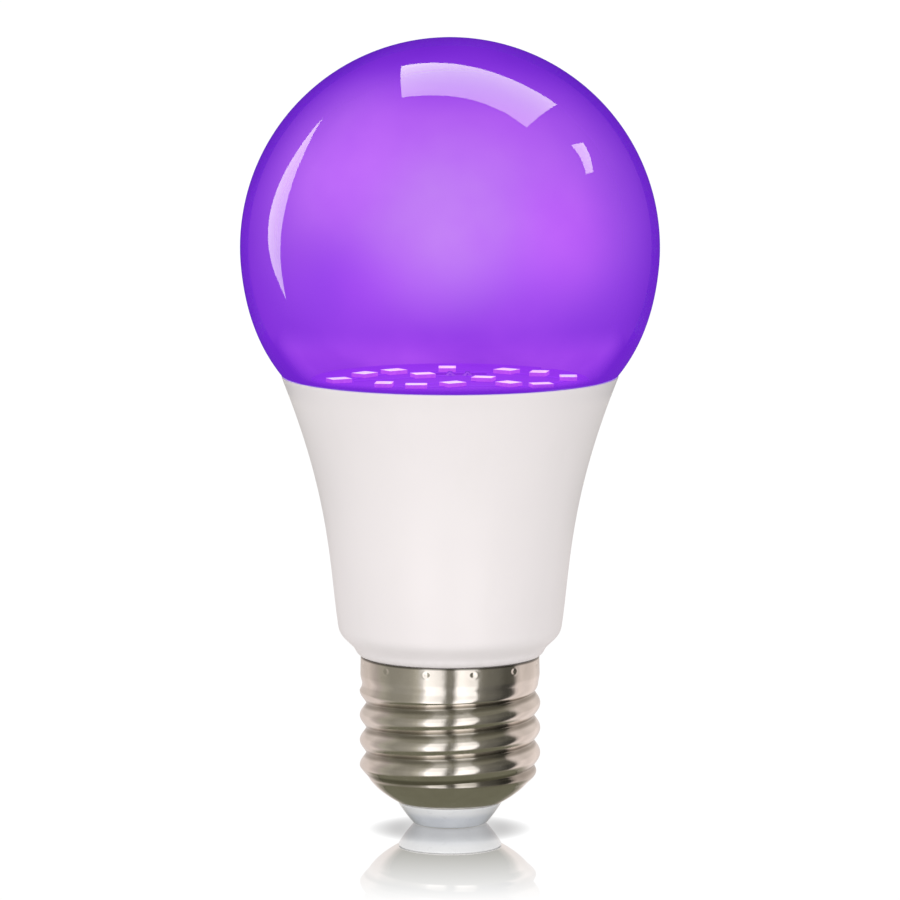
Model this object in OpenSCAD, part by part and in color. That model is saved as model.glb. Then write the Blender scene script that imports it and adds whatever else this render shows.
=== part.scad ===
// LED bulb with a screw cap: a lit dome over an LED board, a flared plastic
// housing with a metal cup inside, a driver with a radio module, and a cap.
// Origin: the middle of the cap's tip contact. +Z runs up the bulb's axis.

/* [Dome] */
// Largest diameter of the dome
dome_d = 60.2; // [59.4:0.1:60.8]
// Height of the middle of the dome's ball above the tip
dome_z = 83.7; // [83.2:0.1:84.4]
// Wall of the dome
dome_wall = 1.2; // [0.9:0.1:1.4]

/* [Housing] */
// Radius of the housing's rim where the dome meets it
rim_r = 24.3; // [24.1:0.1:24.6]
// Wall of the housing
housing_wall = 1.5; // [1.3:0.1:1.6]
// Sheet thickness of the metal cup
cup_wall = 0.8; // [0.6:0.1:0.9]

/* [Screw cap] */
// Diameter over the thread's crests
crest_d = 26.1; // [26:0.05:26.3]
// Diameter at the thread's roots
root_d = 24.2; // [24.1:0.05:24.5]
// Thread pitch, 7 threads to the inch
pitch = 3.629; // [3.6:0.001:3.66]
// Sheet thickness of the cap
shell_t = 0.3; // [0.25:0.05:0.3]
// Diameter of the tip contact's head
tip_d = 9.2; // [8.6:0.1:9.4]

/* [LED board] */
// Diameter of the LED board
led_board_d = 40; // [39:0.5:41]
// Long side of one LED package
led_l = 3.1; // [3:0.1:3.5]
// Short side of one LED package
led_w = 2.5; // [2.4:0.1:2.8]

/* [Driver] */
// Thickness of the driver board
driver_t = 1.0; // [0.8:0.1:1]
// Diameter of the smoothing capacitor
bulk_d = 8; // [7:0.5:8]
// Diameter of the output capacitor
out_d = 6.3; // [5:0.1:6.3]

/* [Hidden] */
$fn = 64;

seam_z = 65.3;                 // dome and housing meet here
dome_r = dome_d / 2;
flank_h = 3.1;                 // the ball turns into the flank this far below its middle
skirt_o = 22.15;               // skirt that locates the dome inside the rim
skirt_i = 21.3;
recess_r = 22.25;
foot_z = 24.7;                 // underside of the housing, where the cap starts
neck_o = 11.6;
neck_i = 10.3;
neck_z = 9;
board_z1 = seam_z - 0.7;       // face of the LED board
board_z0 = board_z1 - 1.1;
pad_z0 = board_z0 - 0.2;
plate_z0 = pad_z0 - 1.0;
drv_y = 5.5;                   // front face of the driver board
drv_top = 59;
// LED layout: x, y, turn about the package's own middle
LEDS = [[-15.9, -3, 25], [-12.3, 3.9, 50], [-8.1, 7.5, 35], [-3.9, 3, 20],
    [-0.4, 10.9, 90], [4.8, -1.2, -15], [8.2, 8.1, -35], [12.9, 5.4, 80],
    [17, 0, 90], [-9.4, -8.1, 85], [-4.8, -9.9, 0], [0.4, -7.6, 35],
    [8.4, -7.4, -45], [13, -9, 15]];
LIVE = [[2, 4.7, 15.5], [2, 3.9, 13.5], [1.4, 2.4, 10.5], [0.4, 0.7, 8], [0, 0, 6], [0, 0, 3.4]];
NEUTRAL = [[-5, 4.8, 16.5], [-5, 3.9, 13.6], [-6.4, 1.8, 9.8], [-8.6, 0.5, 7.8],
    [-10.5, 0, 7.9], [-11.2, 0, 9.8], [-11.2, 0, 14]];

// a cubic curve through p[0] and p[3]
function bez(p, t) = pow(1 - t, 3) * p[0] + 3 * pow(1 - t, 2) * t * p[1]
    + 3 * (1 - t) * t * t * p[2] + pow(t, 3) * p[3];
function bez_pts(p, n, t0 = 0) = [for (i = [0:n]) bez(p, t0 + (1 - t0) * i / n)];
function shift_r(pts, d) = [for (q = pts) [q[0] - d, q[1]]];
function rev(v) = [for (i = [len(v) - 1:-1:0]) v[i]];
function unit(v) = v / norm(v);

// the flared side of the housing, from the rim to the shoulder
FLARE = [[rim_r, seam_z], [17.2, 47.6], [17.4, 37.7], [16.15, 29]];
// the rounded shoulder above the lip
SHOULDER = [[16.15, 29], [15.95, 27.5], [15, 27.1], [14, 26]];
// the dome's flank, from the ball down to the rim
function flank(r, end, k) = let (x = sqrt(r * r - flank_h * flank_h), s = flank_h / r)
    [[x, dome_z - flank_h], [x - 6.5 * s, dome_z - flank_h - 6.5],
     [end[0] + k[0], end[1] + k[1]], end];

// a tube swept along a smooth curve through the points of p
function spline_at(p, u) = let (n = len(p) - 1, i = min(floor(u * n), n - 1), t = u * n - i,
    a = p[max(i - 1, 0)], b = p[i], c = p[i + 1], d = p[min(i + 2, n)])
    0.5 * (2 * b + (c - a) * t + (2 * a - 5 * b + 4 * c - d) * t * t
    + (3 * b - a - 3 * c + d) * t * t * t);
module swept(p, r, rings, sides = 10) {
    c = [for (i = [0:rings]) spline_at(p, i / rings)];
    tan = [for (i = [0:rings]) unit(c[min(i + 1, rings)] - c[max(i - 1, 0)])];
    pts = [for (i = [0:rings]) let (u = unit(cross(tan[i], [0.93, 0.1, 0.2])), v = cross(tan[i], u))
        for (j = [0:sides - 1]) c[i] + r * (cos(360 * j / sides) * u + sin(360 * j / sides) * v)];
    faces = concat(
        [for (i = [0:rings - 1]) for (j = [0:sides - 1]) let (k = (j + 1) % sides)
            [i * sides + j, i * sides + k, (i + 1) * sides + k, (i + 1) * sides + j]],
        [[for (j = [sides - 1:-1:0]) j]], [[for (j = [0:sides - 1]) rings * sides + j]]);
    polyhedron(points = pts, faces = [for (f = faces) rev(f)], convexity = 6);
}

module ring(r1, r2, z, h) {
    translate([0, 0, z]) difference() {
        cylinder(r = r2, h = h);
        translate([0, 0, -1]) cylinder(r = r1, h = h + 2);
    }
}
module block(x0, x1, y0, y1, z0, z1) {
    translate([x0, y0, z0]) cube([x1 - x0, y1 - y0, z1 - z0]);
}
// a rectangle with rounded corners, centred
module round_rect(l, w, r) {
    square([l - 2 * r, w], center = true);
    square([l, w - 2 * r], center = true);
    for (i = [-1, 1], j = [-1, 1]) translate([i * (l / 2 - r), j * (w / 2 - r)]) circle(r, $fn = 24);
}
// a round lead that leaves a part downwards and turns into the driver board
module bent_lead(x, y, z, drop = 1.4) {
    translate([x, y, z - drop - 0.4]) cylinder(d = 0.6, h = drop + 0.7, $fn = 16);
    translate([x, y, z - drop]) rotate([-90, 0, 0]) cylinder(d = 0.5, h = drv_y - y, $fn = 16);
}

module diffuser_dome() {
    ri = dome_r - dome_wall;
    outer = bez_pts(flank(dome_r, [rim_r - 0.15, seam_z], [3.15, 3.9]), 14);
    inner = bez_pts(flank(ri, [skirt_o + 0.35, seam_z + 0.6], [3.2, 4]), 14);
    color([0.6, 0.3, 0.95]) union() {
        translate([0, 0, dome_z]) intersection() {
            difference() {
                sphere(dome_r, $fn = 120);
                sphere(ri, $fn = 120);
            }
            translate([-40, -40, -flank_h]) cube([80, 80, 80]);
        }
        rotate_extrude($fn = 120) polygon(concat(outer,
            [[skirt_o, seam_z], [skirt_o, seam_z - 2], [skirt_i, seam_z - 2], [skirt_i, seam_z - 0.4]],
            rev(inner)));
    }
}

// bead of sealant under the dome's skirt
module dome_seal() {
    color([0.85, 0.85, 0.86]) ring(21.4, 22.2, seam_z - 2.35, 0.35);
}

module housing() {
    flare_in = shift_r(bez_pts(FLARE, 20, 0.05), housing_wall);
    color([0.93, 0.92, 0.9]) difference() {
        rotate_extrude($fn = 96) polygon(concat(
            bez_pts(FLARE, 22), bez_pts(SHOULDER, 6),
            [[13.72, 25.6], [13.5, 25.2], [13.18, 24.85], [12.95, foot_z], [12.5, foot_z],
             [12.5, 22.4], [neck_o, 21.6], [neck_o, neck_z + 0.4], [neck_o - 0.4, neck_z], [neck_i, neck_z], [neck_i, 25.5]],
            rev(flare_in),
            [[recess_r, seam_z - 2.4], [recess_r, seam_z]]));
        // slot that lets the neutral lead out under the cap
        block(-12.2, -9.8, -0.7, 0.7, neck_z - 1, 15);
    }
}

module heat_sink_cup() {
    wall_o = shift_r(bez_pts(FLARE, 16, 0.09), housing_wall + 0.1);
    side = [for (q = wall_o) if (q[1] > 31) q];
    color([0.75, 0.76, 0.78]) difference() {
        rotate_extrude($fn = 96) polygon(concat(
            [[0, pad_z0], [20.4, pad_z0], [20.8, pad_z0 - 0.4]], side,
            rev(shift_r(side, cup_wall)), [[20.2 - cup_wall, plate_z0], [0, plate_z0]]));
        // window for the feed pins and the radio board
        block(-6, 6, 4, 8.2, plate_z0 - 1, pad_z0 + 1);
    }
}

module thermal_pad() {
    color([0.55, 0.6, 0.62]) difference() {
        translate([0, 0, pad_z0]) cylinder(r = led_board_d / 2 - 0.5, h = 0.2);
        block(-6, 6, 4, 8.2, pad_z0 - 1, pad_z0 + 1);
    }
}

module led_board() {
    color([0.88, 0.88, 0.92]) difference() {
        translate([0, 0, board_z0]) cylinder(d = led_board_d, h = board_z1 - board_z0, $fn = 96);
        // slot for the radio board
        block(-5.3, 5.3, 6.2, 7.6, board_z0 - 1, board_z1 + 1);
        for (x = [0, 2.54]) translate([x, drv_y - 0.35, board_z0 - 1]) cylinder(d = 1.1, h = 4, $fn = 24);
        // locating notches
        for (a = [45, 225]) rotate([0, 0, a]) translate([led_board_d / 2, 0, board_z0 - 1])
            cylinder(d = 2.4, h = 4, $fn = 24);
    }
}

module led_packages() {
    color([0.93, 0.92, 0.88]) for (q = LEDS) translate([q[0], q[1], board_z1]) rotate([0, 0, q[2]])
        difference() {
            linear_extrude(0.55) round_rect(led_l, led_w, 0.12);
            translate([0, 0, 0.3]) linear_extrude(1) round_rect(led_l - 0.5, led_w - 0.5, 0.2);
        }
}

// the silicone window of each LED, filling the package's well
module led_emitters() {
    color([1, 0.72, 0.95]) for (q = LEDS) translate([q[0], q[1], board_z1 + 0.3]) rotate([0, 0, q[2]])
        union() {
            linear_extrude(0.24) round_rect(led_l - 0.5, led_w - 0.5, 0.2);
            linear_extrude(0.28) round_rect(led_l - 0.8, led_w - 0.8, 0.2);
        }
}

// two pins that carry the current from the driver to the LED board
module led_feed_pins() {
    color([0.85, 0.8, 0.62]) for (x = [0, 2.54])
        block(x - 0.32, x + 0.32, drv_y - 0.64, drv_y, 54.5, board_z1 + 0.6);
}

// insulating sleeve between the mains side of the driver and the metal cup
module driver_sleeve() {
    color([0.96, 0.96, 0.94]) intersection() {
        union() {
            ring(12.8, 13.6, 28.3, 30.2);
            for (s = [-1, 1], y = [drv_y - 0.95, drv_y + driver_t + 0.15])
                block(min(s * 9.9, s * 13.2), max(s * 9.9, s * 13.2), y, y + 0.8, 28.3, 58.5);
        }
        translate([0, 0, 28.3]) cylinder(r = 13.6, h = 30.2);
    }
}

module driver_board() {
    color([0.12, 0.42, 0.24]) difference() {
        union() {
            block(-10.9, 10.9, drv_y, drv_y + driver_t, 28.6, drv_top);
            block(-7.8, 7.8, drv_y, drv_y + driver_t, 13, 28.6);
        }
        // isolation slot under the transformer
        block(-9, -1, drv_y - 1, drv_y + 2, 42.2, 43.2);
        // holes for the mains leads
        for (x = [-5, 2]) translate([x, drv_y - 1, 15.5]) rotate([-90, 0, 0]) cylinder(d = 1, h = 4, $fn = 24);
    }
}

// a flat chip with bent legs on the rear face of the driver board
module chip(x, z, l, w, h, legs) {
    y = drv_y + driver_t;
    block(x - l / 2, x + l / 2, y + 0.1, y + h, z - w / 2, z + w / 2);
    for (i = [0:legs - 1], s = [-1, 1]) {
        lx = x + (i - (legs - 1) / 2) * l / (legs + 0.2);
        block(lx - 0.2, lx + 0.2, y, y + 0.2, min(z + s * w / 2, z + s * (w / 2 + 1)), max(z + s * w / 2, z + s * (w / 2 + 1)));
        block(lx - 0.2, lx + 0.2, y, y + h / 2, min(z + s * (w / 2 - 0.2), z + s * (w / 2 + 0.25)), max(z + s * (w / 2 - 0.2), z + s * (w / 2 + 0.25)));
    }
}
module driver_ic() {
    color([0.1, 0.1, 0.11]) chip(4.2, 37, 4.9, 3.9, 1.6, 4);
}
module bridge_rectifier() {
    color([0.14, 0.14, 0.15]) chip(-4.4, 32.4, 4.7, 3.8, 2.4, 2);
}

// an aluminium can in a printed sleeve, with a rolled groove and a scored top
module can(x, d, z0, h) {
    y = drv_y - d / 2;
    translate([x, y, z0]) difference() {
        union() {
            cylinder(r1 = d / 2 - 0.4, r2 = d / 2, h = 0.4);
            translate([0, 0, 0.4]) cylinder(d = d, h = h - 0.8);
            translate([0, 0, h - 0.4]) cylinder(r1 = d / 2, r2 = d / 2 - 0.4, h = 0.4);
        }
        ring(d / 2 - 0.35, d / 2 + 1, 1.4, 0.9);
        for (a = [0, 90]) rotate([0, 0, a]) translate([-d / 2 + 1.2, -0.15, h - 0.2]) cube([d - 2.4, 0.3, 1]);
    }
    for (s = [-1, 1]) bent_lead(x + s * d / 5, y, z0);
}
module bulk_capacitor() {
    color([0.16, 0.2, 0.34]) can(6, bulk_d, 29.6, 12.5);
}
module output_capacitor() {
    color([0.18, 0.18, 0.2]) can(6.6, out_d, 45.6, 11);
}

// transformer, standing in front of the board
TX = [-4.5, 0.6, 50.2];
module transformer_core() {
    color([0.22, 0.22, 0.24]) translate(TX) difference() {
        cube([13, 5, 12.4], center = true);
        for (s = [-1, 1]) translate([s * 3.3, 0, 0]) cube([3.4, 6, 9.2], center = true);
    }
}
module transformer_bobbin() {
    color([0.12, 0.13, 0.14]) translate(TX) {
        difference() {
            union() {
                translate([0, 0, -4.5]) linear_extrude(0.8) round_rect(9.6, 7.6, 0.6);
                translate([0, 0, 3.7]) linear_extrude(0.8) round_rect(9.6, 7.6, 0.6);
                translate([0, 0, -4.5]) linear_extrude(9) round_rect(4.4, 6.2, 0.4);
            }
            cube([3.3, 5.1, 20], center = true);
        }
        // pins into the board
        for (x = [-3.6, 3.6], z = [-4.1, 4.1]) translate([x, 3.4, z]) rotate([-90, 0, 0])
            cylinder(d = 0.6, h = drv_y - TX[1] - 3.4, $fn = 16);
    }
}
module transformer_winding() {
    color([0.9, 0.75, 0.2]) translate(TX) translate([0, 0, -3.7]) linear_extrude(7.4) difference() {
        round_rect(8.8, 7.2, 1);
        round_rect(4.4, 6.2, 0.4);
    }
}

// drum choke against mains noise
module filter_choke() {
    color([0.3, 0.22, 0.16]) {
        translate([-6.5, drv_y - 3, 30.6]) {
            cylinder(r = 3, h = 1);
            translate([0, 0, 1]) cylinder(r = 2.6, h = 6);
            translate([0, 0, 7]) cylinder(r = 3, h = 1);
        }
        for (s = [-1, 1]) bent_lead(-6.5 + s * 1.8, drv_y - 3, 30.6, 0.9);
    }
}
module film_capacitor() {
    color([0.85, 0.7, 0.2]) {
        block(-2.8, 1.6, drv_y - 4, drv_y - 0.4, 31, 38.4);
        for (x = [-1.9, 0.7]) bent_lead(x, drv_y - 1.6, 31, 0.9);
    }
}
module fuse_resistor() {
    color([0.25, 0.6, 0.45]) {
        translate([-5, drv_y - 2.3, 18.5]) {
            cylinder(r = 1.7, h = 1.8);
            translate([0, 0, 1.8]) cylinder(r = 1.45, h = 4.4);
            translate([0, 0, 6.2]) cylinder(r = 1.7, h = 1.8);
        }
        bent_lead(-5, drv_y - 2.3, 18.5, 1);
        translate([-5, drv_y - 2.3, 26.2]) cylinder(d = 0.6, h = 1.8, $fn = 16);
        translate([-5, drv_y - 2.3, 27.5]) rotate([-90, 0, 0]) cylinder(d = 0.5, h = 2.3, $fn = 16);
    }
}

// radio module on the rear face; its antenna end reaches up into the LED board's slot
module radio_board() {
    y = drv_y + driver_t;
    color([0.1, 0.12, 0.14]) difference() {
        block(-5, 5, y, y + 0.8, 46.5, board_z1 - 0.2);
        for (s = [-1, 1], i = [0:6]) translate([s * 5, y - 1, 48 + i * 1.5]) rotate([-90, 0, 0])
            cylinder(d = 0.7, h = 3, $fn = 16);
    }
}
module radio_shield() {
    y = drv_y + driver_t + 0.8;
    color([0.78, 0.79, 0.8]) translate([0, y, 52]) rotate([-90, 0, 0]) difference() {
        linear_extrude(1.9) round_rect(8.6, 9.6, 0.6);
        translate([0, 0, -1]) linear_extrude(2.7) round_rect(8.2, 9.2, 0.5);
    }
}
// meandering copper antenna
module radio_antenna() {
    y = drv_y + driver_t + 0.8;
    color([0.9, 0.68, 0.3]) union() {
        for (i = [0:5]) block(-4.2 + i * 1.6, -3.8 + i * 1.6, y, y + 0.1, 59.2, 63.6);
        for (i = [0:2]) block(-4.2 + i * 3.2, -2.2 + i * 3.2, y, y + 0.1, 63.2, 63.6);
        for (i = [0:1]) block(-2.6 + i * 3.2, -0.6 + i * 3.2, y, y + 0.1, 59.2, 59.6);
    }
}

module live_lead() {
    color([0.75, 0.12, 0.1]) swept(LIVE, 0.6, 24);
}
module neutral_lead() {
    color([0.85, 0.85, 0.88]) swept(NEUTRAL, 0.45, 32);
}

// --- screw cap ---
shell_top = 24.6;
thread_top = 21.2;             // the collar ends and the rolled thread begins
bowl_z = 7.7;                  // the straight part ends and the bowl begins
hole_z = 3.3;                  // rim of the hole round the insulator
hole_r = 7.3;
crest_z = 12.2;                // height of a crest on the -X side
// the bowl, from the thread's root down to the rim of the hole
BOWL = [[root_d / 2, bowl_z], [root_d / 2 - 0.2, 6.6], [10.6, 5], [hole_r + 0.3, hole_z]];
// plain radius of the sheet at height z, before the thread is rolled in
function plain_r(z) = z > 22 ? 12.95 - 0.02 * (z - 22)
    : z > 18.6 ? root_d / 2 + (12.95 - root_d / 2) * (0.5 - 0.5 * cos(180 * (z - 18.6) / 3.4))
    : root_d / 2;
// how much of the thread's depth is rolled in at height z
function fade(z) = z > 19.5 ? max(0, 1 - (z - 19.5) / 1.7) : z < 8.4 ? max(0, 1 - (8.4 - z) / 2.2) : 1;
// a soft wave along the axis: a right-hand helix with rounded crests and roots
function wave(a, z) = let (u = (z - crest_z) / pitch - (a - 180) / 360)
    pow(0.5 + 0.5 * cos(360 * u), 1.1);
function rolled_r(r, a, z) = r + max(0, crest_d / 2 - max(r, plain_r(z))) * wave(a, z) * fade(z);
module screw_shell() {
    n = 44;
    up = concat([for (i = [0:2]) shell_top + (thread_top - shell_top) * i / 3],
        [for (i = [0:27]) thread_top + (bowl_z - thread_top) * i / 27]);
    low = bez_pts(BOWL, 6);
    outer = concat([for (z = up) [plain_r(z), z, 0]], [for (i = [1:6]) [low[i][0], low[i][1], 0]]);
    inner = concat([for (z = up) [plain_r(z), z, 1]], [for (i = [1:6]) [low[i][0], low[i][1], 1]]);
    profile = concat(outer, rev(inner));
    loop = len(profile);
    pts = [for (j = [0:n - 1]) let (a = 360 * j / n) for (q = profile)
        let (r = rolled_r(q[0], a, q[1]) - q[2] * shell_t,
             z = q[1] + (q[1] < bowl_z - 0.1 ? q[2] * shell_t * 0.5 : 0))
        [r * cos(a), r * sin(a), z]];
    faces = [for (j = [0:n - 1]) for (i = [0:loop - 1]) let (k = (j + 1) % n, m = (i + 1) % loop)
        each [[j * loop + i, k * loop + m, j * loop + m], [j * loop + i, k * loop + i, k * loop + m]]];
    color([0.8, 0.76, 0.72]) polyhedron(points = pts, faces = [for (f = faces) rev(f)], convexity = 10);
}

module cap_insulator() {
    color([0.9, 0.91, 0.94]) rotate_extrude($fn = 96) polygon([[2.05, 0.75], [tip_d / 2 + 0.08, 0.75],
        [tip_d / 2 + 0.08, 0.05], [5.15, 0.05], [5.4, 0.2], [7.45, hole_z - 0.2], [7.4, hole_z - 0.08], [7.1, hole_z],
        [7.1, 4.2], [8.3, 5.1], [8.3, 5.8], [2.05, 5.8]]);
}

// rivet that is the tip contact, hollow for the live lead
module center_contact() {
    color([0.82, 0.74, 0.5]) difference() {
        rotate_extrude() polygon([[0, 0], [tip_d / 2 - 0.5, 0], [tip_d / 2 - 0.1, 0.15], [tip_d / 2, 0.45],
            [tip_d / 2, 0.72], [2, 0.72], [2, 5.82], [2.6, 5.85], [2.5, 6.15], [0, 6.15]]);
        translate([0, 0, 1]) cylinder(d = 1.8, h = 8, $fn = 32);
    }
}

diffuser_dome();
dome_seal();
housing();
heat_sink_cup();
thermal_pad();
led_board();
led_packages();
led_emitters();
led_feed_pins();
driver_sleeve();
driver_board();
driver_ic();
bridge_rectifier();
bulk_capacitor();
output_capacitor();
transformer_core();
transformer_bobbin();
transformer_winding();
filter_choke();
film_capacitor();
fuse_resistor();
radio_board();
radio_shield();
radio_antenna();
live_lead();
neutral_lead();
screw_shell();
cap_insulator();
center_contact();
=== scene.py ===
import bpy
import math
import numpy as np
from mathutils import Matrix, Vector


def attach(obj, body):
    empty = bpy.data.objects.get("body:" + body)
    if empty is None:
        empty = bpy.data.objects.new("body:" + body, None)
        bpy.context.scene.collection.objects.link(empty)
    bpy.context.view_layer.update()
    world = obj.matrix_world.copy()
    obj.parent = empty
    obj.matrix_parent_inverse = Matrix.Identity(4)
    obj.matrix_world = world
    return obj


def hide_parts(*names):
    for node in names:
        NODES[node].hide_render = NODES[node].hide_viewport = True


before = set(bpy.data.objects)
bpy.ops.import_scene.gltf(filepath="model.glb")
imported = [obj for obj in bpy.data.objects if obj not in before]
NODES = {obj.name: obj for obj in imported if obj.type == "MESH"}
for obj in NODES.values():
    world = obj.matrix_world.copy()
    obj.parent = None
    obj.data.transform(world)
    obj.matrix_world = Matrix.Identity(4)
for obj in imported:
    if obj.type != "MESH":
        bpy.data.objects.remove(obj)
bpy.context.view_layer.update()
MM = 0.001

# ------------------------------------------------------------------ camera
CAM, AIM = Vector((0, -1.0123, 0.1856)), Vector((0, 0, 0.0544))
lens = bpy.data.cameras.new("camera")
lens.sensor_width, lens.lens = 36, 283.76
lens.clip_start, lens.clip_end = 0.05, 50
camera = bpy.data.objects.new("camera", lens)
bpy.context.scene.collection.objects.link(camera)
camera.location = CAM
camera.rotation_mode = "QUATERNION"
camera.rotation_quaternion = (AIM - CAM).to_track_quat("-Z", "Y")
bpy.context.scene.camera = camera
bpy.context.scene.view_settings.view_transform = "Standard"
bpy.context.scene.view_settings.look = "None"


# --------------------------------------------------------- material toolkit
def srgb(r, g, b):
    f = lambda c: c / 12.92 if c <= 0.04045 else ((c + 0.055) / 1.055) ** 2.4
    return (f(r / 255), f(g / 255), f(b / 255), 1)


class Shader:
    """A node tree written as short calls."""

    def __init__(self, name, world=False):
        if world:
            self.m = bpy.data.worlds.new(name)
        else:
            self.m = bpy.data.materials.new(name)
        self.m.use_nodes = True
        self.t = self.m.node_tree
        self.t.nodes.clear()
        self.out = self.t.nodes.new("ShaderNodeOutputWorld" if world else "ShaderNodeOutputMaterial")

    def n(self, kind, inputs=None, **props):
        node = self.t.nodes.new("ShaderNode" + kind)
        for k, v in props.items():
            setattr(node, k, v)
        for k, v in (inputs or {}).items():
            self.put(node.inputs[k], v)
        return node

    def put(self, socket, v):
        if isinstance(v, bpy.types.NodeSocket):
            self.t.links.new(v, socket)
        elif v is not None:
            socket.default_value = v

    def math(self, op, a, b=None, clamp=False):
        node = self.n("Math", operation=op, use_clamp=clamp)
        self.put(node.inputs[0], a)
        if b is not None:
            self.put(node.inputs[1], b)
        return node.outputs[0]

    def coord(self):
        if not hasattr(self, "_co"):
            self._co = self.n("TexCoord").outputs["Object"]
        return self._co

    def xyz(self):
        if not hasattr(self, "_xyz"):
            self._xyz = self.n("SeparateXYZ", {0: self.coord()}).outputs
        return self._xyz

    def stretched(self, sx, sy, sz):
        return self.n("Mapping", {"Vector": self.coord(), "Scale": (sx, sy, sz)}).outputs[0]

    def noise(self, scale, detail=2.0, rough=0.5, vector=None, distortion=0.0):
        return self.n("TexNoise", {"Vector": vector or self.coord(), "Scale": scale, "Detail": detail,
                                   "Roughness": rough, "Distortion": distortion}).outputs["Fac"]

    def span(self, v, a, b, c, d, smooth=False):
        node = self.n("MapRange", {"Value": v, "From Min": a, "From Max": b, "To Min": c, "To Max": d})
        if smooth:
            node.interpolation_type = "SMOOTHSTEP"
        return node.outputs[0]

    def ramp(self, v, stops, mode="LINEAR"):
        node = self.n("ValToRGB", {"Fac": v})
        r = node.color_ramp
        r.interpolation = mode
        while len(r.elements) < len(stops):
            r.elements.new(0.5)
        for e, (p, c) in zip(r.elements, stops):
            e.position = p
            e.color = c if len(c) == 4 else (*c, 1)
        return node.outputs[0]

    def mix(self, fac, a, b, how="MIX"):
        node = self.n("Mix", data_type="RGBA", blend_type=how)
        self.put(node.inputs[0], fac)
        self.put(node.inputs[6], a)
        self.put(node.inputs[7], b)
        return node.outputs[2]

    def bump(self, height, strength, distance, normal=None):
        return self.n("Bump", {"Height": height, "Strength": strength, "Distance": distance, "Normal": normal}).outputs[0]

    def blend(self, fac, a, b):
        node = self.n("MixShader")
        self.put(node.inputs[0], fac)
        self.put(node.inputs[1], a)
        self.put(node.inputs[2], b)
        return node.outputs[0]

    def principled(self, **inputs):
        return self.n("BsdfPrincipled", {k.replace("_", " "): v for k, v in inputs.items()}).outputs[0]

    def done(self, shader):
        self.t.links.new(shader, self.out.inputs["Surface"])
        return self.m


def stock(name, color, metallic=0.0, rough=0.5, vary=0.08, grain=900.0, bump=0.25, streak=None, spec=0.5,
          worn=0.05, coat=0.0):
    """A moulded, cast, printed or drawn finish: mottled colour, uneven gloss and a fine bump at the grain's scale."""
    s = Shader(name)
    where = s.stretched(*streak) if streak else s.coord()
    fine = s.noise(grain, 3, 0.6, where)
    broad = s.noise(grain * 0.07 + 60, 2, 0.5)
    dark = tuple(max(0.0, c * (1 - vary)) for c in color[:3])
    light = tuple(min(1.0, c * (1 + vary) + 0.01) for c in color[:3])
    col = s.mix(s.span(broad, 0.35, 0.65, 0, 1), (*dark, 1), (*light, 1))
    col = s.mix(s.span(fine, 0.3, 0.75, 0, vary), col, (*[c * 0.6 for c in color[:3]], 1))
    r = s.span(fine, 0.3, 0.7, max(0.03, rough - 0.06), rough + 0.07)
    r = s.math("ADD", r, s.span(broad, 0.45, 0.7, 0, worn))
    return s.done(s.principled(Base_Color=col, Metallic=metallic, Roughness=r, Specular_IOR_Level=spec,
                               Coat_Weight=coat, Normal=s.bump(fine, bump, 0.00004)))


# ------------------------------------------------------------ mesh toolkit
def make(name, verts, faces, mats, face_mats=None, smooth=True, sharp=35, body="root"):
    me = bpy.data.meshes.new(name)
    me.from_pydata([tuple(v) for v in verts], [], [tuple(f) for f in faces])
    for m in mats:
        me.materials.append(m)
    if face_mats is not None:
        me.polygons.foreach_set("material_index", list(face_mats))
    me.polygons.foreach_set("use_smooth", [smooth] * len(me.polygons))
    me.update()
    if smooth and sharp:
        me.set_sharp_from_angle(angle=math.radians(sharp))
    o = bpy.data.objects.new(name, me)
    bpy.context.scene.collection.objects.link(o)
    if body:
        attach(o, body)
    return o


def lathe(points, n, closed=True):
    """Rings of a body of revolution from (radius, height, zone) in mm; zone picks the material of the strip that follows."""
    verts, rings, faces, zones = [], [], [], []
    for r, z, _ in points:
        if r < 1e-6:
            rings.append([len(verts)])
            verts.append((0, 0, z * MM))
        else:
            rings.append(list(range(len(verts), len(verts) + n)))
            for j in range(n):
                a = 2 * math.pi * j / n
                verts.append((r * math.cos(a) * MM, r * math.sin(a) * MM, z * MM))
    last = len(points) if closed else len(points) - 1
    for i in range(last):
        a, b = rings[i], rings[(i + 1) % len(points)]
        if len(a) == 1 and len(b) == 1:
            continue
        for j in range(n):
            k = (j + 1) % n
            if len(a) == 1:
                f = (a[0], b[j], b[k])
            elif len(b) == 1:
                f = (a[j], b[0], a[k])
            else:
                f = (a[j], b[j], b[k], a[k])
            faces.append(f)
            zones.append(points[i][2])
    return verts, faces, zones


def bez(p, n, t0=0.0):
    p = np.array(p, float)
    t = np.linspace(t0, 1, n + 1)[:, None]
    return ((1 - t) ** 3 * p[0] + 3 * (1 - t) ** 2 * t * p[1] + 3 * (1 - t) * t * t * p[2] + t ** 3 * p[3]).tolist()


def rounded(a, b, c, r, n=5):
    """Points of a small fillet at corner b between a and c."""
    a, b, c = (np.array(q, float) for q in (a, b, c))
    u, v = (a - b) / np.linalg.norm(a - b), (c - b) / np.linalg.norm(c - b)
    half = math.acos(max(-1, min(1, float(u @ v)))) / 2
    cut = r / math.tan(half)
    p, q = b + u * cut, b + v * cut
    return [((1 - t) ** 2 * p + 2 * t * (1 - t) * b + t * t * q).tolist() for t in np.linspace(0, 1, n)]


# ------------------------------------------------------------- dome
DOME_R, DOME_Z, WALL, SEAM, FLANK = 30.1, 83.7, 1.2, 65.3, 3.1


def flank(r, end, k, n):
    x, s = math.sqrt(r * r - FLANK * FLANK), FLANK / r
    return bez([[x, DOME_Z - FLANK], [x - 6.5 * s, DOME_Z - FLANK - 6.5], [end[0] + k[0], end[1] + k[1]], end], n)


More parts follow.
